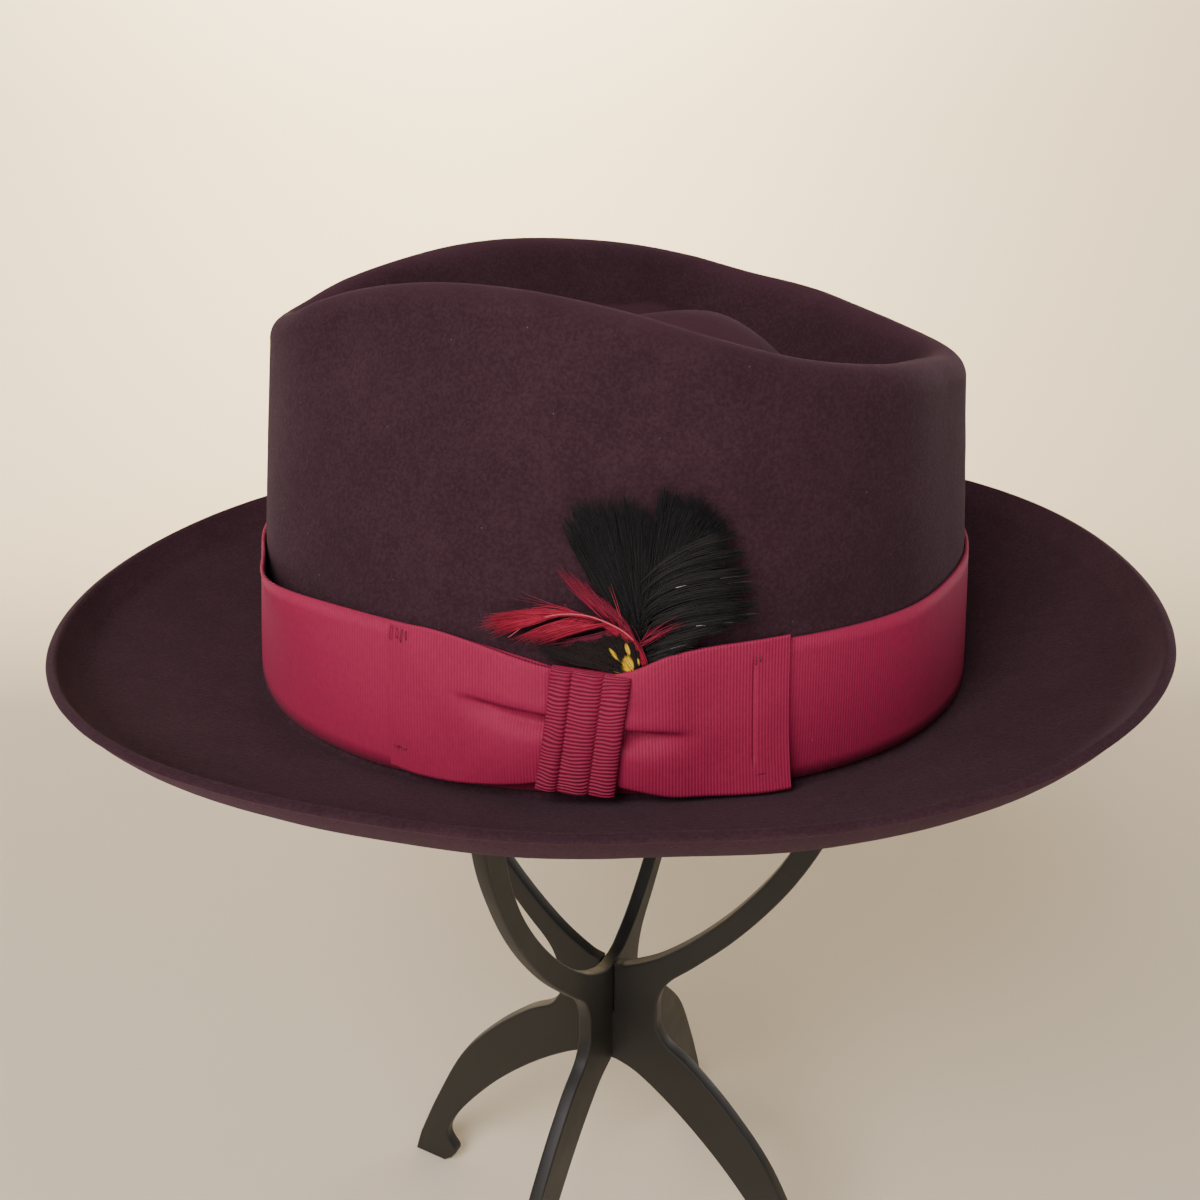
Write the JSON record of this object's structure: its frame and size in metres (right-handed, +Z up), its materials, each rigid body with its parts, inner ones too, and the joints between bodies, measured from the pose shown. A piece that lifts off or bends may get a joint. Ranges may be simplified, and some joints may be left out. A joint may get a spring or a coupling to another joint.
{
  "type": "fedora hat on a hat stand",
  "caption": "Felt fedora with a teardrop dent, upturned brim, ribbon band, side bow and feathers, resting on a slotted cross-plate stand.",
  "frame": {"origin": "on the floor under the middle of the brim", "axes": "+Z up; -X towards the hat's front; -Y towards the wearer's left side, where the bow and the feathers are"},
  "size_m": [0.3124, 0.268, 0.3633],
  "materials": {
    "felt": "brushed felt, aubergine",
    "band_ribbon": "ribbed grosgrain, crimson",
    "bow_ribbon": "ribbed grosgrain, crimson",
    "knot_ribbon": "ribbed grosgrain, crimson",
    "black_plume": "glossy black feather",
    "red_plume": "dyed red hackle",
    "spotted_plume": "dark feather with yellow spots",
    "stand_plastic": "moulded charcoal plastic"
  },
  "bodies": {
    "root": {"felt_body": "felt", "ribbon_band": "band_ribbon", "bow_front_panel": "bow_ribbon", "bow_rear_panel": "bow_ribbon", "bow_knot": "knot_ribbon", "black_feather": "black_plume", "red_feather": "red_plume", "spotted_feather": "spotted_plume", "stand_plate_a": "stand_plastic", "stand_plate_b": "stand_plastic"}
  },
  "joints": []
}
